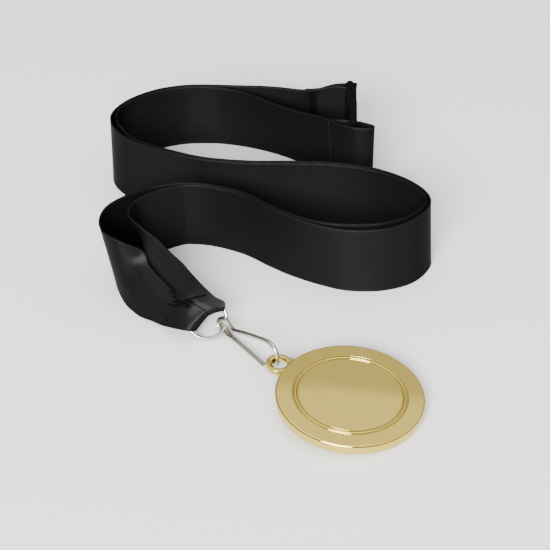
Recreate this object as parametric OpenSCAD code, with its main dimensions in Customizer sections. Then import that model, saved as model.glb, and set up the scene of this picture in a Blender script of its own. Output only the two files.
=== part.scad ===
// Award medal on a black neck ribbon, laid down loosely.
// x runs to the right, y away from the viewer and z up, and the pile stands on z = 0.
// The ribbon stands on its edge in soft bends, and its gathered end, the ring and the hook
// lead to the disc, which lies in front with its eyelet side raised by the hook.

/* [Ribbon] */
// Width of the ribbon, which is its height where it stands on its edge
ribbon_w = 25; // [22:0.5:26]
// Thickness of the cloth wall
cloth = 1; // [1:0.05:1.1]
// Number of short straight pieces between two knots of the route
route_steps = 4; // [2:1:6]

/* [Ring] */
// Radius of the jump ring at the middle of its wire
ring_r = 6.5; // [6.3:0.1:6.6]
// Thickness of the ring's wire
ring_wire = 1.2; // [1:0.1:1.2]

/* [Hook] */
// Thickness of the hook's wire
hook_wire = 1.5; // [1.3:0.1:1.6]

/* [Medal] */
// Diameter of the disc
disc_d = 47; // [46:0.5:48]
// Thickness of the disc
disc_t = 3.5; // [3:0.1:4]
// Radius of the middle of the raised bead
bead_r = 17.25; // [16:0.25:18]
// Width of the bead
bead_w = 0.9; // [0.7:0.1:1.2]
// Width of the round groove on each side of the bead
groove_w = 0.5; // [0.3:0.1:0.6]
// Distance from the middle of the disc to the middle of the eyelet
eyelet_reach = 26.5; // [26:0.1:27]
// Outer diameter of the eyelet
eyelet_d = 8.6; // [8:0.1:9]
// Diameter of the eyelet's hole
eyelet_hole_d = 4.9; // [4.5:0.1:5]
// Thickness of the eyelet
eyelet_t = 2; // [1.6:0.1:2.2]

/* [Clasp] */
// How much taller the clasp is than the ribbon is wide
clasp_over = 3.4; // [3:0.1:4]
// Thickness of the socket half
socket_t = 3.7; // [3.4:0.1:4]
// Thickness of the tongue half
tongue_t = 2.4; // [2:0.1:2.6]
// Thickness of the round bars that hold the hems
bar_d = 2; // [1.6:0.1:2]

/* [Hidden] */
$fn = 64;

// Moves the whole pile so that the middle of its floor outline is the origin
pile_shift = [2.3, 3.9, 0];

// Width of the ribbon at which the rows below are written; other widths scale their heights
drawn_w = 25;

// Columns of a strip's rows: the lower edge, the bulge to the left of travel and the upper edge
LOW = [0, 1, 2];
BELLY = 3;
HIGH = [4, 5, 6];

// The run where both lengths lie side by side: the middle between their upper edges [x, y],
// how far apart they are, and how far the lower edges stand out to the left of travel
PAIR = [
    [-29, 20.5, 1.4, 0.4],
    [-20, 18.3, 1.4, 0.4],
    [-9.5, 13, 1.4, 0],
    [-1.5, 5.5, 1.4, 0.2],
    [6, -1, 1.4, 0.6],
    [15.5, -6.6, 2.2, 0.8],
    [25, -9.3, 3.8, 0.4],
    [36, -9.2, 3.8, -0.2],
    [45, -5.4, 3, -1],
    [51, 0.8, 1.8, -0.8],
    [52.6, 6.5, 1.4, -0.4],
    [50, 13.2, 1.4, 0],
    [44, 20, 1.4, 0],
    [34.5, 26.2, 1.4, 0],
    [22, 30.2, 1.4, 0],
    [8, 32, 1.4, 0],
    [-8, 33.2, 1.4, 0],
    [-23.5, 36.5, 1.4, 0],
    [-36, 42.2, 1.4, 0],
    [-45, 47.6, 1.5, 0.4],
    [-51, 53, 2, 0.8],
    [-55, 60, 2.6, 1],
    [-56.6, 67, 2.2, 0.6],
    [-54.4, 74, 1.5, 0.2],
    [-49, 80, 1.4, 0.2],
    [-41, 84.8, 1.4, 0.4],
    [-32.5, 86.9, 1.4, 0.6],
    [-24.5, 87, 1.4, 0.6]
];

// The gathered ends lie round the upper left arc of the ring, so their rows are given in the
// ring's own axes: along its plane, back from the fold, and out of its plane to the viewer.
// Columns: along at the lower edge, along at the upper edge, back, out at the lower edge,
// out at the upper edge, and the bulge. They run from the tail behind the ring, over the fold
// and back in front of the ring.
FAR_FOLD = [
    [-4.8, 0.6, 6.2, -1.7, -1.7, 0],
    [-5, 0.8, 0.9, -1.6, -1.6, 0],
    [-5, 0.8, -0.9, 0, 0, 0],
    [-7.2, 0.7, 0.9, 1.8, 1.7, 0],
    [-9.4, 0, 3.8, 0.8, 1.7, 0.8],
    [-12, -1, 7, -3, 1.6, 1.8]
];
NEAR_FOLD = [
    [1.8, 4.8, 6, -1.7, -1.7, 0],
    [1.7, 5.4, 0.9, -1.6, -1.6, 0],
    [1.5, 5, -0.9, 0, 0, 0],
    [1.4, 6.4, 0.9, 1.7, 1.8, 0],
    [1.4, 6.4, 4, 1.9, 1.7, 0],
    [1, 6.2, 7.8, 2.2, 1.5, 0]
];

// The far length from the ring up to the pair's run
FAR_START = [
    [-36.8, -28.4, 0.6, 3, -30.4, -24.6, 9.5],
    [-41, -25, 0.3, 4, -33.6, -20.6, 11],
    [-45.2, -21.4, 0, 4, -36.6, -18.4, 15],
    [-48, -18.1, 0, 3, -39.6, -18.3, 20],
    [-50, -15, 0, 0.8, -44.5, -17, 24.3],
    [-52.1, -9.8, 0, 0, -51.6, -12.5, 25],
    [-54, -2.9, 0, 0, -57.2, -5.7, 24.8],
    [-54.6, 4, 0, 0, -58, 2.6, 24.8],
    [-52.4, 10.5, 0, 0, -54.6, 10, 25],
    [-45, 18.2, 0, 0, -44.6, 17.8, 25],
    [-37, 20.8, 0, 0, -36.5, 20.4, 25]
];

// The near length from the ring up to the pair's run
NEAR_START = [
    [-30, -21.5, 5, 1.5, -23.6, -20.8, 11.3],
    [-33, -16, 2, 3, -28.8, -15.2, 14.4],
    [-37, -8.5, 0.6, 3, -35.2, -8.6, 17.6],
    [-39.6, -3.4, 0, 2, -41, -4.9, 20.9],
    [-41.6, 1.5, 0, 1, -46, -1.6, 23.2],
    [-42.5, 6.5, 0, 0, -49, 3.4, 24.3],
    [-42, 12, 0, 0, -47, 10.6, 24.6],
    [-38, 16.8, 0, 0, -40.5, 16.4, 25],
    [-33.5, 19.4, 0, 0, -34.5, 18.8, 25]
];

// Lift of the cloth's edges off the floor, so that a leaning wall does not dip below it
cloth_rise = 0.2;

// Heights of a hem's edges, which leave room for the clasp's lower and upper arms
hem_rise = 1.6;
hem_top = hem_rise + drawn_w;

// The far length from the pair's run to its hem: in front of the bar, round it and back
FAR_END = [
    [-12, 86.9, 0, 0, -12, 86.2, 25],
    [1, 85, 0, 0, 1, 84.5, 25],
    [12, 81.6, 0.6, 0, 12, 81.6, 25.6],
    [17, 79.8, hem_rise, 0, 17, 79.8, hem_top],
    [24, 79, hem_rise, 0, 24, 79, hem_top],
    [30.5, 78.8, hem_rise, 0, 30.5, 78.8, hem_top],
    [32.6, 80.4, hem_rise, 0, 32.6, 80.4, hem_top],
    [30.5, 82.1, hem_rise, 0, 30.5, 82.1, hem_top],
    [25, 82.1, hem_rise, 0, 25, 82.1, hem_top],
    [18.5, 81, hem_rise, 0, 18.5, 81, hem_top]
];

// The near length from the pair's run to its hem
NEAR_END = [
    [-17, 86, 0, 0, -16.4, 84.6, 25],
    [-8, 83, 0, 0, -7.4, 80, 25],
    [1.5, 78.2, 0, 0, 0.4, 73.2, 25],
    [9.8, 71.6, 0.4, 0, 9.4, 66.4, 25.2],
    [16.5, 64, 1.2, 0, 16.2, 61.4, 26],
    [21.3, 57.2, hem_rise, 0, 21.3, 57.2, hem_top],
    [25.4, 53.6, hem_rise, 0, 25.4, 53.6, hem_top],
    [30.2, 51, hem_rise, 0, 30.2, 51, hem_top],
    [35, 50.4, hem_rise, 0, 35, 50.4, hem_top],
    [36.4, 51.7, hem_rise, 0, 36.4, 51.7, hem_top],
    [33.6, 53.8, hem_rise, 0, 33.6, 53.8, hem_top],
    [29.5, 55.7, hem_rise, 0, 29.5, 55.7, hem_top],
    [23.8, 57.4, hem_rise, 0, 23.8, 57.4, hem_top]
];

// The ring leans back and its lowest point nearly touches the floor
ring_middle = [-22.8, -31.65, 5.8];
ring_out = unit([0.1, -0.78, 0.62]);
ring_along = unit(cross([-0.645, 0.42, 0.634], ring_out));
ring_back = cross(ring_out, ring_along);

function unit(v) = v / norm(v);
function pick(row, columns) = [for (c = columns) row[c]];

// Direction of the pair's run at a row, from the rows beside it
function pair_heading(i) =
    let (a = PAIR[max(i - 1, 0)], b = PAIR[min(i + 1, len(PAIR) - 1)])
    unit([b.x - a.x, b.y - a.y]);

// Rows of one length along the pair's run: side is 1 for the left one and -1 for the right one
function pair_rows(side) = [
    for (i = [0 : len(PAIR) - 1])
        let (row = PAIR[i], to = pair_heading(i), left = [-to.y, to.x])
        let (high = [row.x, row.y] + left * side * row[2] / 2, low = high + left * row[3])
        [low.x, low.y, 0, 0, high.x, high.y, drawn_w]
];

// Rows of a gathered end in the common axes
function fold_rows(table) = [
    for (row = table)
        let (low = ring_middle + row[0] * ring_along + row[2] * ring_back + row[3] * ring_out)
        let (high = ring_middle + row[1] * ring_along + row[2] * ring_back + row[4] * ring_out)
        [low.x, low.y, low.z, row[5], high.x, high.y, high.z]
];

// Smooth curve through four rows, at t of the way from the second to the third
function blend(a, b, c, d, t) =
    0.5 * (2 * b + (c - a) * t + (2 * a - 5 * b + 4 * c - d) * t * t + (3 * b - a - 3 * c + d) * t * t * t);

function smooth(rows) = [
    for (i = [0 : len(rows) - 2])
        let (before = rows[max(i - 1, 0)], after = rows[min(i + 2, len(rows) - 1)])
        for (s = [0 : route_steps - 1])
            blend(before, rows[i], rows[i + 1], after, s / route_steps),
    rows[len(rows) - 1]
];

// The three lines of a strip at each station, scaled in height with the ribbon's width:
// lower edge, middle pushed out by the bulge, and upper edge
function station_line(rows, i) =
    let (row = rows[i], fit = ribbon_w / drawn_w)
    let (low = pick(row, LOW), high = pick(row, HIGH))
    let (a = rows[max(i - 1, 0)], b = rows[min(i + 1, len(rows) - 1)])
    let (travel = pick(b, LOW) + pick(b, HIGH) - pick(a, LOW) - pick(a, HIGH))
    let (out = unit(cross(high - low, travel)))
    let (line = [low, (low + high) / 2 + out * row[BELLY], high])
    [for (p = line) [p.x, p.y, p.z * fit + cloth_rise]];

// Closed cloth wall along the rows, with half the thickness on each side of its lines
module strip(rows) {
    path = smooth(rows);
    n = len(path);
    lines = [for (i = [0 : n - 1]) station_line(path, i)];
    function along(i, k) = lines[min(i + 1, n - 1)][k] - lines[max(i - 1, 0)][k];
    function across(i, k) = lines[i][min(k + 1, 2)] - lines[i][max(k - 1, 0)];
    function outward(i, k) = unit(cross(across(i, k), along(i, k)));
    left = [for (i = [0 : n - 1]) for (k = [0 : 2]) lines[i][k] + outward(i, k) * cloth / 2];
    right = [for (i = [0 : n - 1]) for (k = [0 : 2]) lines[i][k] - outward(i, k) * cloth / 2];
    r = 3 * n;
    sheet_faces = [
        for (i = [0 : n - 2]) for (k = [0 : 1])
            let (a = 3 * i + k, b = a + 3)
            each [[a, b + 1, a + 1], [a, b, b + 1],
                  [r + a, r + a + 1, r + b + 1], [r + a, r + b + 1, r + b]]
    ];
    edge_faces = [
        for (i = [0 : n - 2])
            let (a = 3 * i, b = a + 3)
            each [[a, r + b, b], [a, r + a, r + b],
                  [a + 2, b + 2, r + b + 2], [a + 2, r + b + 2, r + a + 2]]
    ];
    end_faces = [
        for (k = [0 : 1])
            let (a = k, z = 3 * (n - 1) + k)
            each [[a, a + 1, r + a + 1], [a, r + a + 1, r + a],
                  [z, r + z + 1, z + 1], [z, r + z, r + z + 1]]
    ];
    polyhedron(concat(left, right), concat(sheet_faces, edge_faces, end_faces));
}

module ribbon_far_length()
    color("#1c1c1c")
        translate(pile_shift)
            strip(concat(fold_rows(FAR_FOLD), FAR_START, pair_rows(1), FAR_END));

module ribbon_near_length()
    color("#242424")
        translate(pile_shift)
            strip(concat(fold_rows(NEAR_FOLD), NEAR_START, pair_rows(-1), NEAR_END));

// Turns +z to a direction
module point_to(v) {
    rotate([0, acos(unit(v).z), atan2(v.y, v.x)])
        children();
}

module jump_ring()
    color("#beb9a5")
        translate(pile_shift + ring_middle)
            point_to(ring_out)
                rotate_extrude()
                    translate([ring_r, 0])
                        circle(d = ring_wire, $fn = 24);

// The hook's wire lies in one upright plane, from the middle of its eye to the disc's eyelet.
// Columns: distance along the plane, offset to its left and height. The gate springs against
// the side of the hook's tip, and the eye is an arc between the gate's and the hook's legs.
hook_eye = [-17.5, -32.1];
hook_turn = -55.3;
eye_middle = [-0.3, 3.9];
eye_r = 1.95;
HOOK_GATE = [
    [26.2, -1.4, 3.3],
    [24, -1.36, 2.94],
    [20, -1.09, 2.65],
    [14, -0.7, 2.22],
    [8, -0.3, 1.78],
    [3.4, 0, 1.45],
    [1.2, 0, 1.6]
];
HOOK_SPRING = [
    [1.6, 0, 5.65],
    [3.5, 0, 5.1],
    [5.9, 0, 4.95],
    [8.3, 0, 5.8],
    [10.7, 0, 6.8],
    [15.5, 0, 8.6],
    [20.2, 0, 10.3],
    [24, 0, 11.6],
    [26.3, 0, 12.15],
    [28.5, 0, 11.9],
    [29.9, 0, 10.7],
    [30.5, 0, 9.1],
    [30.4, 0, 7.2],
    [30, 0, 5.9],
    [29.1, 0, 5.1],
    [27.9, 0, 4.95],
    [26.7, 0, 4.8],
    [25.8, -0.2, 4.5]
];
eye_arc = [for (a = [-100 : -36 : -280]) [eye_middle.x + eye_r * cos(a), 0, eye_middle.y + eye_r * sin(a)]];

// Round wire along smoothed points that lie nearly in the plane y = 0
module wire(points, d, sides = 8) {
    path = smooth(points);
    n = len(path);
    step = 360 / sides;
    function along(i) = unit(path[min(i + 1, n - 1)] - path[max(i - 1, 0)]);
    function ring(i) =
        let (t = along(i), u = unit(cross([0, 1, 0], t)), v = cross(t, u))
        [for (a = [0 : sides - 1]) path[i] + d / 2 * (u * cos(a * step) + v * sin(a * step))];
    skin = [for (i = [0 : n - 1]) each ring(i)];
    walls = [
        for (i = [0 : n - 2]) for (a = [0 : sides - 1])
            let (p = i * sides + a, q = i * sides + (a + 1) % sides)
            each [[p, q + sides, q], [p, p + sides, q + sides]]
    ];
    caps = [[for (a = [0 : sides - 1]) a], [for (a = [sides - 1 : -1 : 0]) (n - 1) * sides + a]];
    polyhedron(skin, concat(walls, caps));
}

module snap_hook()
    color("#b4b0a0")
        translate(pile_shift + [hook_eye.x, hook_eye.y, 0])
            rotate([0, 0, hook_turn])
                wire(concat(HOOK_GATE, eye_arc, HOOK_SPRING), hook_wire);

// The disc's lowest point, the tilt that the hook gives it and the way its eyelet points
disc_tilt = 6;
disc_turn = 145;
disc_middle = [21.9, -73.1];
disc_edge = 0.5;
bead_rise = 0.25;
eyelet_drop = 1.2;
eyelet_z = disc_t - eyelet_drop - eyelet_t;
// The short neck between the rim and the eyelet
neck_from = disc_d / 2 - 1;
neck_l = 1.6;
neck_w = eyelet_d - 2;

// Half section of the disc, from its middle out along the back and in along the face
function arc(middle, reach, angles) =
    [for (a = angles) middle + [reach.x * cos(a), reach.y * sin(a)]];

module disc_outline() {
    shoulder = disc_d / 2 - disc_edge;
    groove = [groove_w / 2, groove_w / 2];
    groove_shift = bead_w / 2 + groove_w / 2;
    polygon(concat(
        [[0, 0]],
        arc([shoulder, disc_edge], [disc_edge, disc_edge], [-90 : 18 : 0]),
        arc([shoulder, disc_t - disc_edge], [disc_edge, disc_edge], [0 : 18 : 90]),
        arc([bead_r + groove_shift, disc_t], groove, [0 : -45 : -180]),
        arc([bead_r, disc_t], [bead_w / 2, bead_rise], [0 : 30 : 180]),
        arc([bead_r - groove_shift, disc_t], groove, [0 : -45 : -180]),
        [[0, disc_t]]
    ));
}

module medal()
    color("#c8b886")
        translate(pile_shift + [disc_middle.x, disc_middle.y, disc_d / 2 * sin(disc_tilt)])
            rotate([0, 0, disc_turn])
                rotate([0, -disc_tilt, 0])
                    difference() {
                        union() {
                            rotate_extrude($fn = 96)
                                disc_outline();
                            translate([eyelet_reach, 0, eyelet_z])
                                cylinder(d = eyelet_d, h = eyelet_t);
                            translate([neck_from, -neck_w / 2, eyelet_z])
                                cube([neck_l, neck_w, eyelet_t]);
                        }
                        translate([eyelet_reach, 0, 0])
                            cylinder(d = eyelet_hole_d, h = disc_t);
                    }

// The clasp stands edge-on between the two hems, in the plane across the view
clasp_x = 29.8;
clasp_h = ribbon_w + clasp_over;
socket_y = [67.1, 76.8];
tongue_y = [57.2, 66.8];
far_bar_y = 80.45;
near_bar_y = 53;
arm_t = 1.4;
arm_root = 1;
cheek_w = 5.2;
cheek_t = 0.6;

// A flat plate, two arms over and under the ribbon, and the bar that the hem is sewn round
module clasp_half(plate, bar_y, t) {
    toward = sign(bar_y - plate[0]);
    root = toward > 0 ? plate[1] : plate[0];
    arm_from = root - toward * arm_root;
    arm_to = bar_y + toward * bar_d / 2;
    translate([clasp_x, (plate[0] + plate[1]) / 2, clasp_h / 2])
        cube([t, plate[1] - plate[0], clasp_h], center = true);
    for (z = [arm_t / 2, clasp_h - arm_t / 2])
        translate([clasp_x, (arm_from + arm_to) / 2, z])
            cube([tongue_t, abs(arm_to - arm_from), arm_t], center = true);
    for (z = [arm_t - cheek_t / 2, clasp_h - arm_t + cheek_t / 2])
        translate([clasp_x, bar_y, z])
            cube([cheek_w, bar_d, cheek_t], center = true);
    translate([clasp_x, bar_y, arm_t / 2])
        cylinder(d = bar_d, h = clasp_h - arm_t, $fn = 32);
}

module clasp_socket()
    color("#161616")
        translate(pile_shift)
            clasp_half(socket_y, far_bar_y, socket_t);

module clasp_tongue()
    color("#202020")
        translate(pile_shift)
            clasp_half(tongue_y, near_bar_y, tongue_t);

ribbon_far_length();
ribbon_near_length();
jump_ring();
snap_hook();
medal();
clasp_socket();
clasp_tongue();
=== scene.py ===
import math

import bmesh
import bpy
from mathutils import Matrix, Vector


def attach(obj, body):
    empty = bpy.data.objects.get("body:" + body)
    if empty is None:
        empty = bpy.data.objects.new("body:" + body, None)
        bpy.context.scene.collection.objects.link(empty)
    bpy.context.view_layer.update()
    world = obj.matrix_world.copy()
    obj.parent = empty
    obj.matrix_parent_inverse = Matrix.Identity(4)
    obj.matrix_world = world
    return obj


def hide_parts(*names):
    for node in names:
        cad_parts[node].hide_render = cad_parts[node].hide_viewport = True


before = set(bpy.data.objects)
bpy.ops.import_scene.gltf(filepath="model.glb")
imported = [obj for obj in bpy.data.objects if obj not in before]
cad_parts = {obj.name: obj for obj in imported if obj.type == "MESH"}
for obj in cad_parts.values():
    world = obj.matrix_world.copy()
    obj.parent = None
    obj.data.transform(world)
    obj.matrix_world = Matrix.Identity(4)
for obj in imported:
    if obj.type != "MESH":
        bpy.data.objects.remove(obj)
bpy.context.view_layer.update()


# The table and the light: a plain white table top under soft lamps, in a white tent. It is looked
# down on from the front with a long lens, as such goods are photographed for a catalogue.
CAMERA_AWAY = 0.68
CAMERA_DROP = math.radians(35.55)
CAMERA_ROLL = math.radians(-1.87)

# The camera, the table and the lamps are given in metres. The object is given in millimetres,
# and MM turns those into metres. The camera looks at PILE, and the places of the ribbon, the
# ring and the clasp are counted from there.
MM = 0.001
PILE = Vector((2.3, 3.9, 0))
camera = bpy.data.objects.new("camera", bpy.data.cameras.new("camera"))
bpy.context.scene.collection.objects.link(camera)
camera.data.lens = 130
camera.data.sensor_width = 36
to_the_right = Vector((1, 0, 0))
view_out = Vector((0, math.cos(CAMERA_DROP), -math.sin(CAMERA_DROP)))
camera_turn = Matrix((to_the_right, to_the_right.cross(view_out), -view_out)).transposed()
camera.matrix_world = (
    Matrix.Translation(PILE * MM - view_out * CAMERA_AWAY)
    @ camera_turn.to_4x4()
    @ Matrix.Rotation(CAMERA_ROLL, 4, "Z")
)
bpy.context.scene.camera = camera


def new_piece(name, bm, finish, slot_name, *nodes):
    """Turns a finished bmesh into a smooth piece. Given a slot name, it rides on the medal's one body."""
    mesh = bpy.data.meshes.new(name)
    bm.to_mesh(mesh)
    bm.free()
    mesh.shade_smooth()
    mesh.materials.append(finish)
    piece = bpy.data.objects.new(name, mesh)
    bpy.context.scene.collection.objects.link(piece)
    if slot_name:
        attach(piece, "root")
    if nodes:
        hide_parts(*nodes)
    return piece


def new_finish(name, values):
    """A material whose shader has these plain values, with its node tree and its shader."""
    finish = bpy.data.materials.new(name)
    finish.use_nodes = True
    tree = finish.node_tree
    shader = tree.nodes["Principled BSDF"]
    for socket, value in values.items():
        shader.inputs[socket].default_value = value
    return finish, tree, shader


TABLE_REACH = 4
table_white, _, _ = new_finish("table_white", {"Base Color": (0.8, 0.8, 0.8, 1), "Roughness": 0.6})
bm = bmesh.new()
bmesh.ops.create_grid(bm, x_segments=1, y_segments=1, size=TABLE_REACH)
new_piece("table_top", bm, table_white, None)


def soft_lamp(name, place, width, height, watts):
    """A broad soft lamp that faces the middle of the table."""
    lamp = bpy.data.lights.new(name, "AREA")
    lamp.shape = "ELLIPSE"
    lamp.size = width
    lamp.size_y = height
    lamp.energy = watts
    holder = bpy.data.objects.new(name, lamp)
    bpy.context.scene.collection.objects.link(holder)
    holder.location = place
    holder.rotation_euler = (-Vector(place)).to_track_quat("-Z", "Y").to_euler()


soft_lamp("lamp_above", place=(0, 0.1, 1.5), width=1.4, height=1.4, watts=5)
soft_lamp("lamp_front", place=(-0.38, -1.5, 0.9), width=1.2, height=0.7, watts=105)


def node(tree, kind, values=None, **settings):
    """A new shader node with some of its settings and some of its sockets filled in."""
    made = tree.nodes.new(kind)
    for setting, value in settings.items():
        setattr(made, setting, value)
    for socket, value in (values or {}).items():
        made.inputs[socket].default_value = value
    return made


def sums(tree, operation, first, second=None, third=None):
    """A Math node on links or plain numbers, and its result."""
    made = node(tree, "ShaderNodeMath", operation=operation)
    for i, value in enumerate((first, second, third)):
        if isinstance(value, bpy.types.NodeSocket):
            tree.links.new(value, made.inputs[i])
        elif value is not None:
            made.inputs[i].default_value = value
    return made.outputs["Value"]


def between(tree, value, low, high, start=0.0, end=1.0):
    """Maps a value from one range to another and keeps it there."""
    ranges = {"From Min": low, "From Max": high, "To Min": start, "To Max": end}
    made = node(tree, "ShaderNodeMapRange", ranges)
    tree.links.new(value, made.inputs["Value"])
    return made.outputs["Result"]


# The tent's brightness, up from the table to straight above, has a slightly leaning seam that
# the disc mirrors. The tent's opening, behind the camera, is darker.
TENT_TONES = [(0.0, 0.12), (0.3, 0.4), (0.5, 0.8), (0.715, 1.0), (0.719, 1.5)]
TENT_LEAN = 0.106
OPENING_FROM = -0.7
OPENING_TO = -0.55
OPENING_GLOW = 0.3
world = bpy.data.worlds.new("studio")
bpy.context.scene.world = world
world.use_nodes = True
tent = world.node_tree
tent_out = tent.nodes["Background"]
tent_place = node(tent, "ShaderNodeTexCoord")
tent_split = node(tent, "ShaderNodeSeparateXYZ")
tent_tone = node(tent, "ShaderNodeValToRGB")
tent_steps = tent_tone.color_ramp.elements
while len(tent_steps) < len(TENT_TONES):
    tent_steps.new(0.5)
for step, (height, tone) in zip(tent_steps, TENT_TONES):
    step.position = height
    step.color = (tone, tone, tone, 1)
tent.links.new(tent_place.outputs["Generated"], tent_split.inputs["Vector"])
tent_height = sums(tent, "MULTIPLY_ADD", tent_split.outputs["X"], TENT_LEAN, tent_split.outputs["Z"])
tent_level = between(tent, tent_split.outputs["Y"], OPENING_FROM, OPENING_TO, OPENING_GLOW)
tent.links.new(tent_height, tent_tone.inputs["Fac"])
tent.links.new(tent_tone.outputs["Color"], tent_out.inputs["Color"])
tent.links.new(tent_level, tent_out.inputs["Strength"])


# The medal: one die-cast blank, gold plated and polished, with a plain field inside a raised
# bead and a flat rim, and its eyelet cast on at the edge. It leans, held up by the hook.
DISC_R = 23.5
DISC_T = 3.5
DISC_EDGE = 0.7
DISC_MIDDLE = (24.2, -69.2)
DISC_TURN = math.radians(145)
DISC_LEAN = math.radians(6)
DISC_STEPS = 288
BEAD_R = 17.25
BEAD_HALF = 0.45
BEAD_RISE = 0.25
GROOVE_HALF = 0.25
GROOVE_DEEP = 0.34
FACE_LAND = 0.1
SIDE_LAND = 0.08
EYELET_REACH = 26.5
EYELET_R = 4.3
EYELET_HOLE_R = 2.45
EYELET_T = 2.0
EYELET_Z = 0.3
EYELET_CORNER = 0.35
EYELET_STEPS = 64
WELD = 0.0005


def new_group(name, inputs, outputs):
    """An empty shader node group with its inputs and outputs, each a name and a kind."""
    group = bpy.data.node_groups.new(name, "ShaderNodeTree")
    for label, kind in inputs:
        group.interface.new_socket(label, in_out="INPUT", socket_type="NodeSocket" + kind)
    for label, kind in outputs:
        group.interface.new_socket(label, in_out="OUTPUT", socket_type="NodeSocket" + kind)
    return group, group.nodes.new("NodeGroupInput"), group.nodes.new("NodeGroupOutput")


# Handling marks, shared by the metals and the plastic: soft patches of touch and fine specks.
handled, inside, out = new_group(
    "handling_marks",
    [("Place", "Vector"), ("Patch Size", "Float"), ("Smooth", "Float"), ("Rough", "Float")],
    [("Roughness", "Float"), ("Mask", "Float"), ("Height", "Float")],
)
patches = node(handled, "ShaderNodeTexNoise", {"Detail": 4, "Roughness": 0.6})
specks = node(handled, "ShaderNodeTexNoise", {"Scale": 1600, "Detail": 2})
rough = node(handled, "ShaderNodeMapRange")
handled.links.new(inside.outputs["Place"], patches.inputs["Vector"])
handled.links.new(inside.outputs["Patch Size"], patches.inputs["Scale"])
handled.links.new(inside.outputs["Place"], specks.inputs["Vector"])
touched = between(handled, patches.outputs["Fac"], low=0.35, high=0.7)
handled.links.new(touched, rough.inputs["Value"])
handled.links.new(inside.outputs["Smooth"], rough.inputs["To Min"])
handled.links.new(inside.outputs["Rough"], rough.inputs["To Max"])
handled.links.new(touched, out.inputs["Mask"])
handled.links.new(specks.outputs["Fac"], out.inputs["Height"])
handled.links.new(rough.outputs["Result"], out.inputs["Roughness"])


def surface(tree, shader, tones, mask, roughness, height, strength, depth):
    """Fills in a shader: a colour between two tones by a mask, the roughness and a fine relief."""
    tone = node(tree, "ShaderNodeMix", {"A": (*tones[0], 1), "B": (*tones[1], 1)}, data_type="RGBA")
    relief = node(tree, "ShaderNodeBump", {"Strength": strength, "Distance": depth * MM})
    tree.links.new(mask, tone.inputs["Factor"])
    tree.links.new(tone.outputs["Result"], shader.inputs["Base Color"])
    tree.links.new(roughness, shader.inputs["Roughness"])
    tree.links.new(height, relief.inputs["Height"])
    tree.links.new(relief.outputs["Normal"], shader.inputs["Normal"])


def handled_finish(name, values, tones, patch, gloss, strength, depth):
    """A hard finish: its two close tones, the size of its patches, its gloss where it is clean
    and where it is touched, and how strong and deep its specks are."""
    finish, tree, shader = new_finish(name, values)
    place = node(tree, "ShaderNodeTexCoord")
    sizes = {"Patch Size": patch, "Smooth": gloss[0], "Rough": gloss[1]}
    marks = node(tree, "ShaderNodeGroup", sizes, node_tree=handled)
    tree.links.new(place.outputs["Object"], marks.inputs["Place"])
    mask, roughness, height = (marks.outputs[label] for label in ("Mask", "Roughness", "Height"))
    surface(tree, shader, tones, mask, roughness, height, strength, depth)
    return finish


gold_plate = handled_finish(
    "gold_plate", {"Metallic": 1.0}, tones=((0.68, 0.52, 0.125), (0.64, 0.485, 0.11)),
    patch=60, gloss=(0.015, 0.035), strength=0.02, depth=0.02,
)


def arc(middle, reach, angles):
    """Points on an ellipse round a middle, at angles in degrees."""
    turns = [math.radians(a) for a in angles]
    return [(middle[0] + reach[0] * math.cos(t), middle[1] + reach[1] * math.sin(t)) for t in turns]


def spin_profile(bm, profile, axis_x, steps):
    """Turns a line of (distance, height) points round an upright axis that stands at axis_x."""
    line = [bm.verts.new((axis_x + r, 0, z)) for r, z in profile]
    edges = [bm.edges.new(pair) for pair in zip(line, line[1:])]
    bmesh.ops.spin(
        bm, geom=line + edges, cent=(axis_x, 0, 0), axis=(0, 0, 1), angle=math.tau, steps=steps,
        use_merge=True,
    )


# The disc, from the middle of its back round to the middle of its front. Short lands beside the
# curves keep the shading of the flats flat.
shoulder = DISC_R - DISC_EDGE
edge_round = (DISC_EDGE, DISC_EDGE)
groove_off = BEAD_HALF + GROOVE_HALF
groove_round = (GROOVE_HALF, GROOVE_DEEP)
profile = (
    [(0, 0), (shoulder - FACE_LAND, 0)]
    + arc((shoulder, DISC_EDGE), edge_round, range(-90, 1, 15))
    + [(DISC_R, DISC_EDGE + SIDE_LAND), (DISC_R, DISC_T - DISC_EDGE - SIDE_LAND)]
    + arc((shoulder, DISC_T - DISC_EDGE), edge_round, range(0, 91, 15))
    + [(shoulder - FACE_LAND, DISC_T), (BEAD_R + groove_off + GROOVE_HALF + FACE_LAND, DISC_T)]
    + arc((BEAD_R + groove_off, DISC_T), groove_round, range(0, -181, -12))
    + arc((BEAD_R, DISC_T), (BEAD_HALF, BEAD_RISE), range(0, 181, 6))[1:-1]
    + arc((BEAD_R - groove_off, DISC_T), groove_round, range(0, -181, -12))
    + [(BEAD_R - groove_off - GROOVE_HALF - FACE_LAND, DISC_T), (0, DISC_T)]
)
bm = bmesh.new()
spin_profile(bm, profile, axis_x=0, steps=DISC_STEPS)

# The eyelet, a ring with rounded corners: its section starts at the hole's lower corner.
hole_side, outer_side = EYELET_HOLE_R + EYELET_CORNER, EYELET_R - EYELET_CORNER
lower_side, upper_side = EYELET_Z + EYELET_CORNER, EYELET_Z + EYELET_T - EYELET_CORNER
section = (
    arc((hole_side, lower_side), (EYELET_CORNER, EYELET_CORNER), range(-90, -181, -18))
    + arc((hole_side, upper_side), (EYELET_CORNER, EYELET_CORNER), range(180, 89, -18))
    + arc((outer_side, upper_side), (EYELET_CORNER, EYELET_CORNER), range(90, -1, -18))
    + arc((outer_side, lower_side), (EYELET_CORNER, EYELET_CORNER), range(0, -91, -18))
)
spin_profile(bm, section + section[:1], axis_x=EYELET_REACH, steps=EYELET_STEPS)

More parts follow.
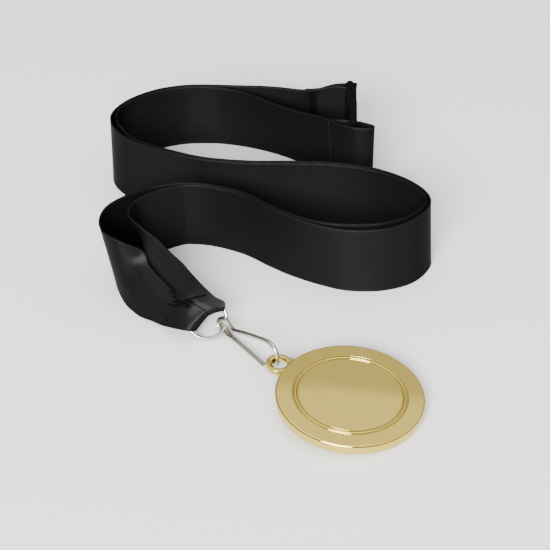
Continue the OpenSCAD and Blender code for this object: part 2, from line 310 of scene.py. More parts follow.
# The two small fillets that carry the rim over into the eyelet, seen from above.
FILLET = [
    (22.0, 6.3), (22.72, 6.0), (23.0, 5.4), (23.45, 4.85), (24.1, 4.4), (25.0, 4.05), (24.2, 3.0),
    (22.0, 2.6),
]
FILLET_INSET = 0.04
FILLET_ROUND = 0.3
for side in (1, -1):
    foot = [bm.verts.new((x, y * side, EYELET_Z + FILLET_INSET)) for x, y in FILLET]
    raised = bmesh.ops.extrude_face_region(bm, geom=[bm.faces.new(foot)], use_keep_orig=True)["geom"]
    roof = [part for part in raised if isinstance(part, bmesh.types.BMVert)]
    foot_ring = [e for e in bm.edges if e.verts[0] in foot and e.verts[1] in foot]
    roof_ring = [e for e in bm.edges if e.verts[0] in roof and e.verts[1] in roof]
    bmesh.ops.translate(bm, vec=(0, 0, EYELET_T - 2 * FILLET_INSET), verts=roof)
    bmesh.ops.bevel(
        bm, geom=foot_ring + roof_ring, offset=FILLET_ROUND, offset_type="OFFSET", segments=3,
        profile=0.5, affect="EDGES", material=-1,
    )
bmesh.ops.remove_doubles(bm, verts=bm.verts[:], dist=WELD)
bmesh.ops.recalc_face_normals(bm, faces=bm.faces[:])
disc_place = (
    Matrix.Translation(Vector((*DISC_MIDDLE, DISC_R * math.sin(DISC_LEAN))) * MM)
    @ Matrix.Rotation(DISC_TURN, 4, "Z")
    @ Matrix.Rotation(-DISC_LEAN, 4, "Y")
    @ Matrix.Scale(MM, 4)
)
bmesh.ops.transform(bm, matrix=disc_place, verts=bm.verts[:])
new_piece("medal_blank", bm, gold_plate, "gold_plate", "medal")


# The snap hook: one length of springy nickel-plated steel wire. It is bent into an eye at the
# ring, then into a long gate and a rounded nose that goes down through the medal's eyelet.
HOOK_PLACE = (-15.2, -28.2)
HOOK_TURN = math.radians(-55.3)
EYE_MIDDLE = (-0.3, 3.9)
EYE_R = 1.95
HOOK_GATE = [
    (26.2, -1.4, 3.3), (24, -1.36, 2.94), (20, -1.09, 2.65), (14, -0.7, 2.22), (8, -0.3, 1.78),
    (3.4, 0, 1.45), (1.2, 0, 1.6),
]
HOOK_SPRING = [
    (1.6, 0, 5.65), (3.5, 0, 5.1), (5.9, 0, 4.95), (8.3, 0, 5.8), (10.7, 0, 6.8), (15.5, 0, 8.6),
    (20.2, 0, 10.3), (24, 0, 11.6), (26.3, 0, 12.15), (28.5, 0, 11.9), (29.9, 0, 10.7),
    (30.5, 0, 9.1), (30.4, 0, 7.2), (30, 0, 5.9), (29.1, 0, 5.1), (27.9, 0, 4.95), (26.7, 0, 4.8),
    (25.8, -0.2, 4.5),
]
WIRE_SIDES = 20
nickel_wire = handled_finish(
    "nickel_wire", {"Metallic": 1.0}, tones=((0.56, 0.54, 0.46), (0.47, 0.45, 0.38)),
    patch=220, gloss=(0.2, 0.32), strength=0.3, depth=0.02,
)


def smooth_rows(rows, steps):
    """More rows between the given ones, on a smooth curve through them."""
    found = []
    for i in range(len(rows) - 1):
        a, b, c, d = rows[max(i - 1, 0)], rows[i], rows[i + 1], rows[min(i + 2, len(rows) - 1)]
        for t in (k / steps for k in range(steps)):
            found.append([
                0.5 * (
                    2 * q + (r - p) * t + (2 * p - 5 * q + 4 * r - s) * t**2
                    + (3 * q - p - 3 * r + s) * t**3
                )
                for p, q, r, s in zip(a, b, c, d)
            ])
    return found + [list(rows[-1])]


def sweep_wire(bm, path, sides, half_size):
    """Extrudes a round section along a path that keeps near an upright plane. half_size gives
    the section's half width across that plane and half thickness within it, at each point."""
    last = None
    for i, point in enumerate(path):
        along = (path[min(i + 1, len(path) - 1)] - path[max(i - 1, 0)]).normalized()
        within = Vector((0, 1, 0)).cross(along).normalized()
        across = along.cross(within)
        wide, thick = half_size(i)
        turn = Matrix((across * wide, within * thick, along)).transposed().to_4x4()
        here = Matrix.Translation(point) @ turn
        if last is None:
            made = bmesh.ops.create_circle(bm, segments=sides, radius=1, cap_ends=True, matrix=here)
            ring_edges = [e for e in bm.edges if e.verts[0] in made["verts"]]
        else:
            made = bmesh.ops.extrude_edge_only(bm, edges=ring_edges)["geom"]
            verts = [part for part in made if isinstance(part, bmesh.types.BMVert)]
            ring_edges = [part for part in made if isinstance(part, bmesh.types.BMEdge)]
            bmesh.ops.transform(bm, matrix=here @ last.inverted(), verts=verts)
        last = here
    bmesh.ops.holes_fill(bm, edges=ring_edges, sides=sides)


# The wire's path, in the upright plane of the bent hook: from the gate's tip back to the eye,
# round it, and over the spring to the end of the nose.
eye_arc = [(x, 0, z) for x, z in arc(EYE_MIDDLE, (EYE_R, EYE_R), range(-100, -281, -30))]
hook_path = [Vector(point) for point in smooth_rows(HOOK_GATE + eye_arc + HOOK_SPRING, steps=6)]

# The wire is round, but rolled out to a flat band round its eye, and pressed flat at the gate's
# tip. Each pair is a half width and a half thickness: the wire's, and what a shaping adds. The
# band begins BAND_REACH from the eye's middle and is full BAND_FADE nearer. The pressing fades
# over the first TIP_SECTIONS points of the path.
WIRE_HALF = (0.8, 0.75)
BAND_ADDS = (0.55, -0.3)
BAND_REACH = 6.2
BAND_FADE = 3.6
TIP_ADDS = (0.35, -0.2)
TIP_SECTIONS = 9


def hook_section(i):
    """The half width and half thickness of the wire at a point of its path."""
    from_eye = (hook_path[i] - Vector((EYE_MIDDLE[0], 0, EYE_MIDDLE[1]))).length
    band = max(0.0, min(1.0, (BAND_REACH - from_eye) / BAND_FADE))
    tip = max(0.0, 1 - i / TIP_SECTIONS)
    wide, thick = (h + b * band + t * tip for h, b, t in zip(WIRE_HALF, BAND_ADDS, TIP_ADDS))
    return wide, thick


bm = bmesh.new()
sweep_wire(bm, hook_path, WIRE_SIDES, hook_section)
hook_place = (
    Matrix.Translation(Vector((*HOOK_PLACE, 0)) * MM)
    @ Matrix.Rotation(HOOK_TURN, 4, "Z")
    @ Matrix.Scale(MM, 4)
)
bmesh.ops.transform(bm, matrix=hook_place, verts=bm.verts[:])
bmesh.ops.recalc_face_normals(bm, faces=bm.faces[:])
new_piece("hook_wire", bm, nickel_wire, "nickel_wire", "snap_hook")


# The jump ring: a turn of the same plated wire, bent shut round the ribbon's gathered end. Its
# two cut ends meet inside the fold of the cloth, RING_GAP_AT radians round it.
RING_MIDDLE = Vector((PILE.x - 22.8, PILE.y - 31.65, 5.8))
RING_OUT = Vector((0.1, -0.78, 0.62)).normalized()
RING_ALONG = Vector((-0.645, 0.42, 0.634)).cross(RING_OUT).normalized()
RING_BACK = RING_OUT.cross(RING_ALONG)
RING_R = 6.5
RING_WIRE = 1.2
RING_GAP = math.radians(1)
RING_GAP_AT = 2.2
RING_STEPS = 96
bm = bmesh.new()
wire_end = bmesh.ops.create_circle(
    bm, segments=WIRE_SIDES, radius=RING_WIRE / 2, cap_ends=True,
    matrix=Matrix.Translation((RING_R, 0, 0)) @ Matrix.Rotation(math.pi / 2, 4, "X"),
)["verts"]
bmesh.ops.spin(
    bm, geom=wire_end + bm.edges[:] + bm.faces[:], cent=(0, 0, 0), axis=(0, 0, 1),
    angle=math.tau - RING_GAP, steps=RING_STEPS,
)
bmesh.ops.recalc_face_normals(bm, faces=bm.faces[:])
ring_place = (
    Matrix.Translation(RING_MIDDLE * MM)
    @ Matrix((RING_ALONG, RING_BACK, RING_OUT)).transposed().to_4x4()
    @ Matrix.Scale(MM, 4)
    @ Matrix.Rotation(RING_GAP_AT, 4, "Z")
)
bmesh.ops.transform(bm, matrix=ring_place, verts=bm.verts[:])
new_piece("ring_turned", bm, nickel_wire, "nickel_wire", "jump_ring")


# The ribbon: two lengths of black polyester satin ribbon, 25 mm wide, with woven selvages. They
# are sewn together round the ring, stand on edge side by side in soft bends, and end in hems.
RIBBON_W = 25.0

# The cloth is CLOTH thick in its selvages and CLOTH_THIN between them. It is laid CLOTH_LIFT
# above the table, so that its lower edges stay out of the table where it leans.
CLOTH = 0.56
CLOTH_THIN = 0.46
CLOTH_LIFT = 0.2
SELVAGE = 0.9

# Where both lengths lie side by side: the middle between their upper edges (x, y), how far
# apart their middles are, and how far their lower edges stand out to the left of travel. Those
# distances are for the walls of the solids. The cloth is thinner, and lies closer by CLOSER.
CLOSER = 0.3
PAIR = [
    (-29, 20.5, 1.4, 0.4), (-20, 18.3, 1.4, 0.4), (-9.5, 13, 1.4, 0), (-1.5, 5.5, 1.4, 0.2),
    (6, -1, 1.4, 0.6), (15.5, -6.6, 2.2, 0.8), (25, -9.3, 3.8, 0.4), (36, -9.2, 3.8, -0.2),
    (45, -5.4, 3, -1), (51, 0.8, 1.8, -0.8), (52.6, 6.5, 1.4, -0.4), (50, 13.2, 1.4, 0),
    (44, 20, 1.4, 0), (34.5, 26.2, 1.4, 0), (22, 30.2, 1.4, 0), (8, 32, 1.4, 0), (-8, 33.2, 1.4, 0),
    (-23.5, 36.5, 1.4, 0), (-36, 42.2, 1.4, 0), (-45, 47.6, 1.5, 0.4), (-51, 53, 2, 0.8),
    (-55, 60, 2.6, 1), (-56.6, 67, 2.2, 0.6), (-54.4, 74, 1.5, 0.2), (-49, 80, 1.4, 0.2),
    (-41, 84.8, 1.4, 0.4), (-32.5, 86.9, 1.4, 0.6), (-24.5, 87, 1.4, 0.6),
]

# The gathered ends in the ring's own axes (along its plane, back from the fold, out to the
# viewer), each row a lower edge, a ridge and an upper edge. They run from the tail behind the
# ring, over the fold, and back in front of the ring to where the length stands on its edge.
FAR_GATHER = [
    (-4.6, 8.6, -1.7, -2, 8.6, -1.7, 0.6, 8.6, -1.7),
    (-5, 1.2, -1.6, -2.1, 1.5, -1.6, 0.8, 1.7, -1.6),
    (-5.2, -0.4, 0, -2, 0.15, 0, 0.8, 0.5, 0),
    (-7.2, 0.9, 1.6, -3.2, 1.3, 2, 1.1, 1.6, 2.2),
    (-9.4, 3.8, 0, -4.6, 3.8, 1.6, 0.9, 3.6, 2),
    (-11, 6.2, -3, -5.8, 7, 0.3, -0.4, 7, 1.2),
    (-12, 8.2, -6.4, -7, 10.5, -1.4, -1.7, 10.6, -2.4),
    (-13.2, 11.4, -10, -8.2, 14.4, -3.2, -1.9, 14.8, -4.6),
    (-14.9, 15.1, -13.8, -9, 18.6, -4.6, -2, 20, -6.6),
    (-15.4, 18.3, -16.7, -9.1, 22.6, -6.6, -1.8, 25.6, -8.2),
    (-15.5, 20.9, -19.3, -9.1, 26.8, -9.8, -0.1, 30.9, -7.8),
]
NEAR_GATHER = [
    (0.6, 8.4, -1.2, 2.8, 8.6, -1.6, 4.8, 8.6, -1.7),
    (0.5, 1.6, -1, 3, 1.2, -1.6, 5, 0.9, -1.6),
    (0.6, 0.6, 0, 3, -0.1, 0, 5.2, -1.2, 0.1),
    (0.5, 0.9, 0.8, 3.1, 0.2, 1.2, 6.5, -1.5, 1.35),
    (0.5, 1.5, 1.1, 3.2, 1.2, 1.7, 7.9, 0.2, 1.5),
    (0, 4, 1.1, 2.6, 4, 1.5, 6.7, 3.6, 1.2),
    (0, 7, 0.2, 0.6, 7.2, 0.9, 6.4, 7.6, 0.2),
    (-0.4, 8.6, -3.4, -1.1, 10.2, -0.4, 6.4, 10.6, -1.2),
    (-1, 9.6, -9, -1.1, 14.5, -3, 6.6, 14.4, -4.4),
    (-1.8, 12.5, -15, -1.1, 19, -5.2, 6.9, 18.6, -7.6),
    (-2.4, 15.7, -21, -1.1, 24, -7.4, 6.6, 24.6, -10.9),
    (-2.3, 19.1, -27.3, -0.6, 30, -10.6, 6.4, 30.9, -12.8),
    (-1.5, 22.5, -31.3, 3.1, 33.9, -16.9, 5.3, 37.9, -14.9),
    (0.1, 25.2, -35.3, 4.6, 38.7, -21.5, 5.2, 43.3, -18.5),
]

# Free runs and hems: the lower edge and the upper edge, with a ridge between them where there is
# one. Each hem turns round its clasp's bar, which holds it a little off the table, and comes back.
FAR_START = [
    (-52.1, -9.8, 0, -51.6, -12.5, 25), (-54, -2.9, 0, -57.2, -5.7, 24.8), (-54.6, 4, 0, -58, 2.6, 24.8),
    (-52.4, 10.5, 0, -54.6, 10, 25), (-45, 18.2, 0, -44.6, 17.8, 25), (-37, 20.8, 0, -36.5, 20.4, 25),
]
NEAR_START = [
    (-42, 12, 0, -46.7, 10.7, 21, -47.2, 10.6, 24.6), (-38, 16.8, 0, -40.6, 16.4, 25),
    (-33.5, 19.4, 0, -34.5, 18.8, 25),
]
HEM_RISE = 1.6
HEM_TOP = HEM_RISE + RIBBON_W
FAR_END = [
    (-12, 86.9, 0, -12, 86.2, 25), (1, 85, 0, 1, 84.5, 25), (12, 81.6, 0, 12, 81.6, 25),
    (17, 80.3, 0.9, 17, 80.3, 25.9), (24, 80.2, 2, 24, 80.2, 27),
    (27.6, 79.5, 1.9, 27.6, 79.5, 26.9), (30.4, 78.9, HEM_RISE, 30.4, 78.9, HEM_TOP),
    (32, 80.4, HEM_RISE, 32, 80.4, HEM_TOP), (30.4, 82, HEM_RISE, 30.4, 82, HEM_TOP),
    (27.2, 81.8, 1.9, 27.2, 81.8, 26.9), (23.5, 81.3, 1.9, 23.5, 81.3, 26.9),
    (18.5, 81.2, 0.6, 18.5, 81.2, 25.6), (13.4, 81.9, 0, 13.4, 81.9, 25),
]
NEAR_END = [
    (-17, 86, 0, -16.4, 84.6, 25), (-8, 83, 0, -7.4, 80, 25), (1.5, 78.2, 0, 0.4, 73.2, 25),
    (9.8, 71.6, 0.4, 9.4, 66.4, 25.2), (16.5, 64, 1.2, 16.2, 61.4, 26),
    (21.3, 57.2, HEM_RISE, 21.3, 57.2, HEM_TOP), (25.4, 53.6, HEM_RISE, 25.4, 53.6, HEM_TOP),
    (30.2, 51, HEM_RISE, 30.2, 51, HEM_TOP), (34.8, 50.4, HEM_RISE, 35.3, 50.4, HEM_TOP),
    (36, 51.7, HEM_RISE, 36.9, 51.7, HEM_TOP), (33.4, 53.8, HEM_RISE, 33.9, 53.8, HEM_TOP),
    (29.5, 55.7, HEM_RISE, 29.5, 55.7, HEM_TOP), (23.9, 57.1, HEM_RISE, 23.9, 57.1, HEM_TOP),
    (20.2, 60.1, 0.4, 20.2, 60.1, 25.4),
]


def gather_rows(gather):
    """A gathered end's rows in the pile's axes."""
    def place(along, back, out_to):
        return RING_MIDDLE - PILE + along * RING_ALONG + back * RING_BACK + out_to * RING_OUT
    return [(*place(*row[0:3]), *place(*row[3:6]), *place(*row[6:9])) for row in gather]


def straight_rows(rows):
    """Rows with a ridge: where only the edges are given, it lies midway and doesn't show."""
    found = []
    for row in rows:
        midway = [(a + b) / 2 for a, b in zip(row[:3], row[-3:])]
        found.append(row if len(row) == 9 else (*row[:3], *midway, *row[-3:]))
    return found


def pair_rows(side):
    """One length's rows along the run where both lie side by side."""
    found = []
    for i, (x, y, apart, lean) in enumerate(PAIR):
        before, after = PAIR[max(i - 1, 0)], PAIR[min(i + 1, len(PAIR) - 1)]
        travel = Vector((after[0] - before[0], after[1] - before[1])).normalized()
        left = Vector((-travel.y, travel.x))
        high = Vector((x, y)) + left * side * (apart - CLOSER) / 2
        low = high + left * lean
        found.append((*low, 0, *high, RIBBON_W))
    return straight_rows(found)


RIDGE_SAMPLES = (-1, -0.6, -0.3, 0, 0.3, 0.6, 1)


def across_cloth(foot, ridge, head, v, softness):
    """The point a share v of the way up the cloth, over a ridge that is rounded by softness."""
    lower, upper = (ridge - foot).length, (head - ridge).length
    top = lower / (lower + upper)
    reach = min(softness, v, 1 - v)
    total = Vector()
    for w in (v + reach * k for k in RIDGE_SAMPLES):
        total += foot.lerp(ridge, w / top) if w < top else ridge.lerp(head, (w - top) / (1 - top))
    return total / len(RIDGE_SAMPLES)


# The flat cloth's mesh: its columns are COLUMN apart. Its rows are even, apart from those within
# EDGE_SHARE of the width from an edge, which are drawn towards it to take the selvage's step.
COLUMN = 0.6
CLOTH_ROWS = 26
EDGE_SHARE = 0.09
EDGE_DRAWN = 0.6


def lay_ribbon(name, rows, softness, finish, node_name):
    """Cuts a flat length of ribbon, marks its cloth coordinates, and lays it along the rows. Gives
    the piece, its length and where a point of the cloth is, so that stitches can go there."""
    path = smooth_rows(rows, steps=12)
    low, ridge, high = ([Vector(row[k:k + 3]) for row in path] for k in (0, 3, 6))
    reach = [0.0]
    for a, b, c, d in zip(low, low[1:], high, high[1:]):
        reach.append(reach[-1] + ((b + d) / 2 - (a + c) / 2).length)
    length = reach[-1]

    def at(s, v):
        i = next((k for k in range(len(reach) - 1) if reach[k + 1] >= s), len(reach) - 2)
        t = (s - reach[i]) / max(reach[i + 1] - reach[i], 1e-9)
        foot, top, head = (line[i].lerp(line[i + 1], t) for line in (low, ridge, high))
        return across_cloth(foot, top, head, v, softness) + PILE + Vector((0, 0, CLOTH_LIFT))

    bm = bmesh.new()
    cloth_map = bm.loops.layers.uv.new("cloth")
    bmesh.ops.create_grid(bm, x_segments=round(length / COLUMN), y_segments=CLOTH_ROWS, size=0.5)
    for vert in bm.verts:
        from_edge = min(vert.co.y + 0.5, 0.5 - vert.co.y)
        if from_edge < EDGE_SHARE:
            vert.co.y = math.copysign(0.5 - from_edge * EDGE_DRAWN, vert.co.y)
    for face in bm.faces:
        for loop in face.loops:
            flat = loop.vert.co
            loop[cloth_map].uv = ((flat.x + 0.5) * length * MM, (flat.y + 0.5) * RIBBON_W * MM)
    middle = []
    for vert in bm.verts:
        s, v = (vert.co.x + 0.5) * length, vert.co.y + 0.5
        if min(v, 1 - v) * RIBBON_W > SELVAGE:
            middle.append(vert.index)
        vert.co = at(s, v) * MM
    piece = new_piece(name, bm, finish, "ribbon_cloth", node_name)
    thin = piece.vertex_groups.new(name="between_selvages")
    thin.add(middle, 1.0, "REPLACE")
    wall = piece.modifiers.new("wall", "SOLIDIFY")
    wall.thickness = CLOTH * MM
    wall.offset = 0
    wall.use_even_offset = True
    wall.vertex_group = thin.name
    wall.invert_vertex_group = True
    wall.thickness_vertex_group = CLOTH_THIN / CLOTH
    return piece, length, at


def stretched_noise(tree, place, along, across, detail):
    """Noise drawn out along the cloth's two directions, with its result."""
    pulled = node(tree, "ShaderNodeVectorMath", operation="MULTIPLY")
    pulled.inputs[1].default_value = (along, across, 1)
    noise = node(tree, "ShaderNodeTexNoise", {"Scale": 1.0, "Detail": detail, "Roughness": 0.55})
    tree.links.new(place, pulled.inputs[0])
    tree.links.new(pulled.outputs["Vector"], noise.inputs["Vector"])
    return noise.outputs["Fac"]


# The satin: black warp threads float over fine crosswise ribs, which wander a little, and the
# selvages are woven tight, with ticks where the weft turns. The ticks carry a painted highlight,
# lighter dots in the colour along each selvage. Right at the long edges the cloth fades to plain
# black, and a few specks of lint lie on the cloth. Dyed polyester reflects without a tint of its own.
WOVEN_SHEEN = {"Metallic": 0.6, "Specular IOR Level": 0.03, "Specular Tint": (0.2, 0.2, 0.2, 1)}
RIB_PITCH = 0.7
RIB_WANDER = 2.4
RIB_RELIEF = 0.35
TICK_PITCH = 0.8
TICK_RELIEF = 0.9
WARP_RELIEF = 0.6
WARP_LIGHT = 0.12
TICK_PAINTED_HIGHLIGHT = 0.14
LINT_LIGHT = 0.35
SELVAGE_DULL = 0.16
LINT_DULL = 0.2
SATIN_BLACK = (0.0085, 0.0085, 0.0088)
SATIN_LIGHT = (0.030, 0.030, 0.031)
black_satin, tree, shader = new_finish(
    "black_satin", {**WOVEN_SHEEN, "Anisotropic": 0.8, "Anisotropic Rotation": 0.25}
)
threads_run = node(tree, "ShaderNodeTangent", direction_type="UV_MAP", uv_map="cloth")
cloth_place = node(tree, "ShaderNodeUVMap", uv_map="cloth").outputs["UV"]
cloth_split = node(tree, "ShaderNodeSeparateXYZ")
tree.links.new(cloth_place, cloth_split.inputs["Vector"])
along, across = cloth_split.outputs["X"], cloth_split.outputs["Y"]

warp = stretched_noise(tree, cloth_place, along=55, across=5200, detail=3)
slubs = stretched_noise(tree, cloth_place, along=900, across=120, detail=2)
lint_noise = stretched_noise(tree, cloth_place, along=4200, across=4200, detail=0)
lint = between(tree, lint_noise, low=0.76, high=0.80)
edge_distance = sums(tree, "MINIMUM", across, sums(tree, "SUBTRACT", RIBBON_W * MM, across))
selvage = between(tree, edge_distance, low=0.6 * MM, high=0.8 * MM, start=1, end=0)
# Towards each long edge the colour fades to plain black over the last fifth of a millimetre.
away_from_edges = between(tree, edge_distance, low=0.05 * MM, high=0.2 * MM)
even_ribs = sums(tree, "MULTIPLY", along, math.tau / (RIB_PITCH * MM))
ribs = sums(tree, "SINE", sums(tree, "MULTIPLY_ADD", slubs, RIB_WANDER, even_ribs))
ticks = sums(tree, "SINE", sums(tree, "MULTIPLY", along, math.tau / (TICK_PITCH * MM)))

# Painted highlight: along each selvage the weft ticks are drawn as lighter dots in the colour.
tick_painted_highlight = sums(tree, "MULTIPLY_ADD", ticks, TICK_PAINTED_HIGHLIGHT, TICK_PAINTED_HIGHLIGHT)
selvage_painted_highlight = sums(tree, "MULTIPLY", selvage, tick_painted_highlight)
warp_light = between(tree, warp, low=0.3, high=0.7, start=0, end=WARP_LIGHT)
streaks_and_painted_highlight = sums(tree, "ADD", selvage_painted_highlight, warp_light)
lint_streaks_and_highlight = sums(tree, "MULTIPLY_ADD", lint, LINT_LIGHT, streaks_and_painted_highlight)
tone_and_painted_highlight = sums(tree, "MULTIPLY", lint_streaks_and_highlight, away_from_edges)
warp_relief = sums(tree, "MULTIPLY", warp, WARP_RELIEF)
edge_ticks = sums(tree, "MULTIPLY", ticks, selvage)
tick_relief = sums(tree, "MULTIPLY_ADD", edge_ticks, TICK_RELIEF, warp_relief)
weave = sums(tree, "MULTIPLY_ADD", ribs, RIB_RELIEF, tick_relief)
warp_gloss = between(tree, warp, low=0.3, high=0.7, start=0.35, end=0.40)
lint_gloss = sums(tree, "MULTIPLY_ADD", lint, LINT_DULL, warp_gloss)
satin_gloss = sums(tree, "MULTIPLY_ADD", selvage, SELVAGE_DULL, lint_gloss)
tones = (SATIN_BLACK, SATIN_LIGHT)
surface(tree, shader, tones, tone_and_painted_highlight, satin_gloss, weave, strength=0.5, depth=0.05)
tree.links.new(threads_run.outputs["Tangent"], shader.inputs["Tangent"])

# How far each length's ridge is rounded, as a share of the width. The near one is a sharp fold.
FAR_SOFT = 0.42
NEAR_SOFT = 0.08
far_rows = gather_rows(FAR_GATHER) + straight_rows(FAR_START) + pair_rows(1) + straight_rows(FAR_END)
near_rows = gather_rows(NEAR_GATHER) + straight_rows(NEAR_START) + pair_rows(-1) + straight_rows(NEAR_END)
satin_far, far_length, on_far = lay_ribbon(
    "satin_far", far_rows, FAR_SOFT, black_satin, "ribbon_far_length"
)
satin_near, near_length, on_near = lay_ribbon(
    "satin_near", near_rows, NEAR_SOFT, black_satin, "ribbon_near_length"
)


# The sewing: spun black polyester thread. A zigzag closes the far hem, a straight seam the near
# one, and a few hand stitches pull both lengths together over the ring.
THREAD = 0.17
HAND_THREAD = 0.26

# A stitch seen from its side: shares of its length, and heights above the cloth. THREAD and
# HAND_THREAD are half thicknesses, and the heights are counted in them. The cloth's slope under
# a stitch is taken from points NEAR_ALONG millimetres and NEAR_ACROSS of the width away.
STITCH = [(0, -0.8), (0.08, 0.3), (0.3, 0.8), (0.7, 0.8), (0.92, 0.3), (1, -0.8)]
NEAR_ALONG = 0.4
NEAR_ACROSS = 0.02


def black_thread(name, dark, light):
    """Black thread, between two tones of grey."""
    finish, tree, shader = new_finish(name, WOVEN_SHEEN)
    place = node(tree, "ShaderNodeTexCoord")
    fuzz = stretched_noise(tree, place.outputs["Object"], along=2600, across=2600, detail=3)
    gloss = between(tree, fuzz, low=0.3, high=0.7, start=0.45, end=0.7)
    tones = ((dark, dark, dark), (light, light, light))
    surface(tree, shader, tones, fuzz, gloss, fuzz, strength=0.6, depth=0.06)
    return finish


# One black thread in two copies: a darker one with painted shade for the zigzag and the hand stitches, and
# a lighter one with painted light for the near seam.
thread_painted_shade = black_thread("thread_painted_shade", dark=0.001, light=0.006)
thread_painted_light = black_thread("thread_painted_light", dark=0.008, light=0.035)


def sew(bm, at, side, start, end, thread):
    """One stitch between two points of the cloth: the thread comes up, lies on it and goes down."""
    a, b = at(*start), at(*end)
    s, v = (start[0] + end[0]) / 2, (start[1] + end[1]) / 2
    run = at(s + NEAR_ALONG, v) - at(s - NEAR_ALONG, v)
    rise = at(s, v + NEAR_ACROSS) - at(s, v - NEAR_ACROSS)
    up = run.cross(rise).normalized() * side
    along = (b - a).normalized()
    up = (up - up.dot(along) * along).normalized()
    span = (b - a).length
    path = [Vector((span * x, 0, CLOTH_THIN / 2 + thread * z)) for x, z in STITCH]
    before = len(bm.verts)
    sweep_wire(bm, path, sides=6, half_size=lambda i: (thread, thread))
    bm.verts.ensure_lookup_table()
    turn = Matrix((along, up.cross(along), up)).transposed().to_4x4()
    bmesh.ops.transform(bm, matrix=Matrix.Translation(a) @ turn, verts=bm.verts[before:])


def sewn_piece(name, finish, stitches):
    """A piece of separate stitches, each the cloth it is on, its side, start, end and thread."""
    bm = bmesh.new()
    for stitch in stitches:
        sew(bm, *stitch)
    bmesh.ops.recalc_face_normals(bm, faces=bm.faces[:])
    bmesh.ops.scale(bm, vec=(MM, MM, MM), verts=bm.verts[:])
    return new_piece(name, bm, finish, "ribbon_cloth")


# The zigzag across the far hem: there and back for each of its turns. Like all stitches it is
# placed by millimetres along the cloth and a share of its width.
TACK_START = far_length - 38
TACK_END = TACK_START + 3.2
TACK_TURNS = 30
TACK_FOOT = 0.03
TACK_SHARE = 0.94
TACK_OUT = 0.015
TACK_BACK = 0.0313
zigzag = []
for k in range(TACK_TURNS):
    v = TACK_FOOT + TACK_SHARE * k / TACK_TURNS
    zigzag.append((on_far, 1, (TACK_START, v), (TACK_END, v + TACK_OUT), THREAD))
    zigzag.append((on_far, 1, (TACK_END, v + TACK_OUT), (TACK_START, v + TACK_BACK), THREAD))
far_tack = sewn_piece("far_tack", thread_painted_shade, zigzag)

# The seam across the near hem leans a little. Its stitches show one by one.
SEAM_AT = near_length - 36.3
SEAM_LEAN = 1.6
SEAM_STITCHES = 10
SEAM_FOOT = 0.04
SEAM_PITCH = 0.094
SEAM_STITCH = 0.07
seam = []
for k in range(SEAM_STITCHES):
    start = SEAM_FOOT + SEAM_PITCH * k
    points = [(SEAM_AT + SEAM_LEAN * (0.5 - v), v) for v in (start, start + SEAM_STITCH)]
    seam.append((on_near, 1, *points, THREAD))
near_seam = sewn_piece("near_seam", thread_painted_light, seam)

# The hand stitches over the ring: the far cloth has a tuft of them, the near one a slanting line.
FAR_TUFT = [
    (25.2, 0.68, 23.4, 0.74), (23.0, 0.70, 21.6, 0.77), (24.6, 0.80, 22.8, 0.84), (22.4, 0.79, 20.8, 0.83),
    (26.0, 0.90, 23.8, 0.92), (23.6, 0.87, 22.0, 0.93), (22.0, 0.88, 20.4, 0.90), (20.8, 0.93, 18.8, 0.91),
    (19.6, 0.84, 18.2, 0.88), (28.0, 0.95, 25.6, 0.96), (22.0, 0.22, 22.8, 0.24),
]
NEAR_LINE = [(21.5, 0.20), (20.5, 0.22), (19.5, 0.27), (19.0, 0.40), (18.0, 0.55), (17.5, 0.73)]
tuft = [(on_far, -1, (a, b), (c, d), HAND_THREAD) for a, b, c, d in FAR_TUFT]
line = [(on_near, -1, start, end, HAND_THREAD) for start, end in zip(NEAR_LINE, NEAR_LINE[1:])]
far_gather_stitches = sewn_piece("far_gather_stitches", thread_painted_shade, tuft)
near_gather_stitches = sewn_piece("near_gather_stitches", thread_painted_shade, line)


# The clasp: two halves of black moulded plastic that pull apart under load. Each has a bar that
# its hem is sewn round, held by an arm over and one under the ribbon, and a ribbed grip.
CLASP_X = 29.8
CLASP_H = 28.4
PLATE_ROUND = 0.5
BAR_R = 1.0
BAR_STEPS = 24
NECK_DROP = 1.2
HEAD_DROP = 0.9
CROWN_DROP = 0.4
HEAD_R = 1.25
HEAD_RISE = 0.7
ARM_ROOT = 1.0
ARM_W = 2.4
ARM_T = 1.4
ARM_ROUND = 0.35
CHEEK_W = 5.2
CHEEK_T = 0.6
CHEEK_ROUND = 0.2
GRIP_RIBS = 4
GRIP_START = 1.6
GRIP_PITCH = 1.3
GRIP_RIB = (0.5, 0.6, CLASP_H - 6)
GRIP_ROUND = 0.15
black_plastic = handled_finish(
    "black_plastic", {"Specular IOR Level": 0.03},
    tones=((0.0015, 0.0015, 0.0015), (0.0035, 0.0035, 0.0036)),
    patch=240, gloss=(0.6, 0.8), strength=0.5, depth=0.08,
)


def moulded_block(bm, middle, size, soft):
    """A block with rounded edges."""
    place = Matrix.Translation(middle) @ Matrix.Diagonal((*size, 1))
    made = bmesh.ops.create_cube(bm, size=1, matrix=place)["verts"]
    bmesh.ops.bevel(
        bm, geom=[e for e in bm.edges if e.verts[0] in made], offset=soft, offset_type="OFFSET",
        segments=2, profile=0.5, affect="EDGES", material=-1,
    )


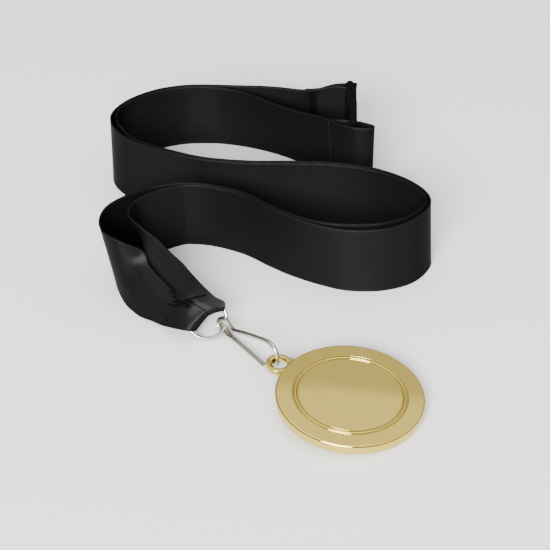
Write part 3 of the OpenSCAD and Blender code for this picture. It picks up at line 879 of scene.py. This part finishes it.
def clasp_half(name, plate, bar_y, thick, node_name):
    """One half: its plate, its two arms with their cheeks, and the bar with its rounded head."""
    toward = math.copysign(1, bar_y - plate[0])
    root = plate[1] if toward > 0 else plate[0]
    bm = bmesh.new()
    bar = [(0, ARM_T / 2), (BAR_R, ARM_T / 2), (BAR_R, CLASP_H - NECK_DROP)]
    head = arc((0, CLASP_H - CROWN_DROP), (HEAD_R, HEAD_RISE), range(0, 91, 15))
    spin_profile(bm, bar + [(HEAD_R, CLASP_H - HEAD_DROP)] + head, axis_x=0, steps=BAR_STEPS)
    bmesh.ops.remove_doubles(bm, verts=bm.verts[:], dist=WELD)
    bmesh.ops.translate(bm, vec=(CLASP_X, bar_y, 0), verts=bm.verts[:])
    plate_middle = (CLASP_X, sum(plate) / 2, CLASP_H / 2)
    moulded_block(bm, plate_middle, (thick, plate[1] - plate[0], CLASP_H), PLATE_ROUND)
    for face_x in (CLASP_X + thick / 2, CLASP_X - thick / 2):
        for k in range(GRIP_RIBS):
            rib_y = root - toward * (GRIP_START + GRIP_PITCH * k)
            moulded_block(bm, (face_x, rib_y, CLASP_H / 2), GRIP_RIB, GRIP_ROUND)
    arm_from, arm_to = root - toward * ARM_ROOT, bar_y + toward * BAR_R
    arm_size = (ARM_W, abs(arm_to - arm_from), ARM_T)
    for z in (ARM_T / 2, CLASP_H - ARM_T / 2):
        moulded_block(bm, (CLASP_X, (arm_from + arm_to) / 2, z), arm_size, ARM_ROUND)
    for z in (ARM_T - CHEEK_T / 2, CLASP_H - ARM_T + CHEEK_T / 2):
        moulded_block(bm, (CLASP_X, bar_y, z), (CHEEK_W, 2 * BAR_R, CHEEK_T), CHEEK_ROUND)
    bmesh.ops.translate(bm, vec=PILE, verts=bm.verts[:])
    bmesh.ops.recalc_face_normals(bm, faces=bm.faces[:])
    bmesh.ops.scale(bm, vec=(MM, MM, MM), verts=bm.verts[:])
    new_piece(name, bm, black_plastic, "black_plastic", node_name)


clasp_half("socket_half", plate=(67.1, 76.8), bar_y=80.45, thick=3.7, node_name="clasp_socket")
clasp_half("tongue_half", plate=(57.2, 66.8), bar_y=53.0, thick=2.4, node_name="clasp_tongue")
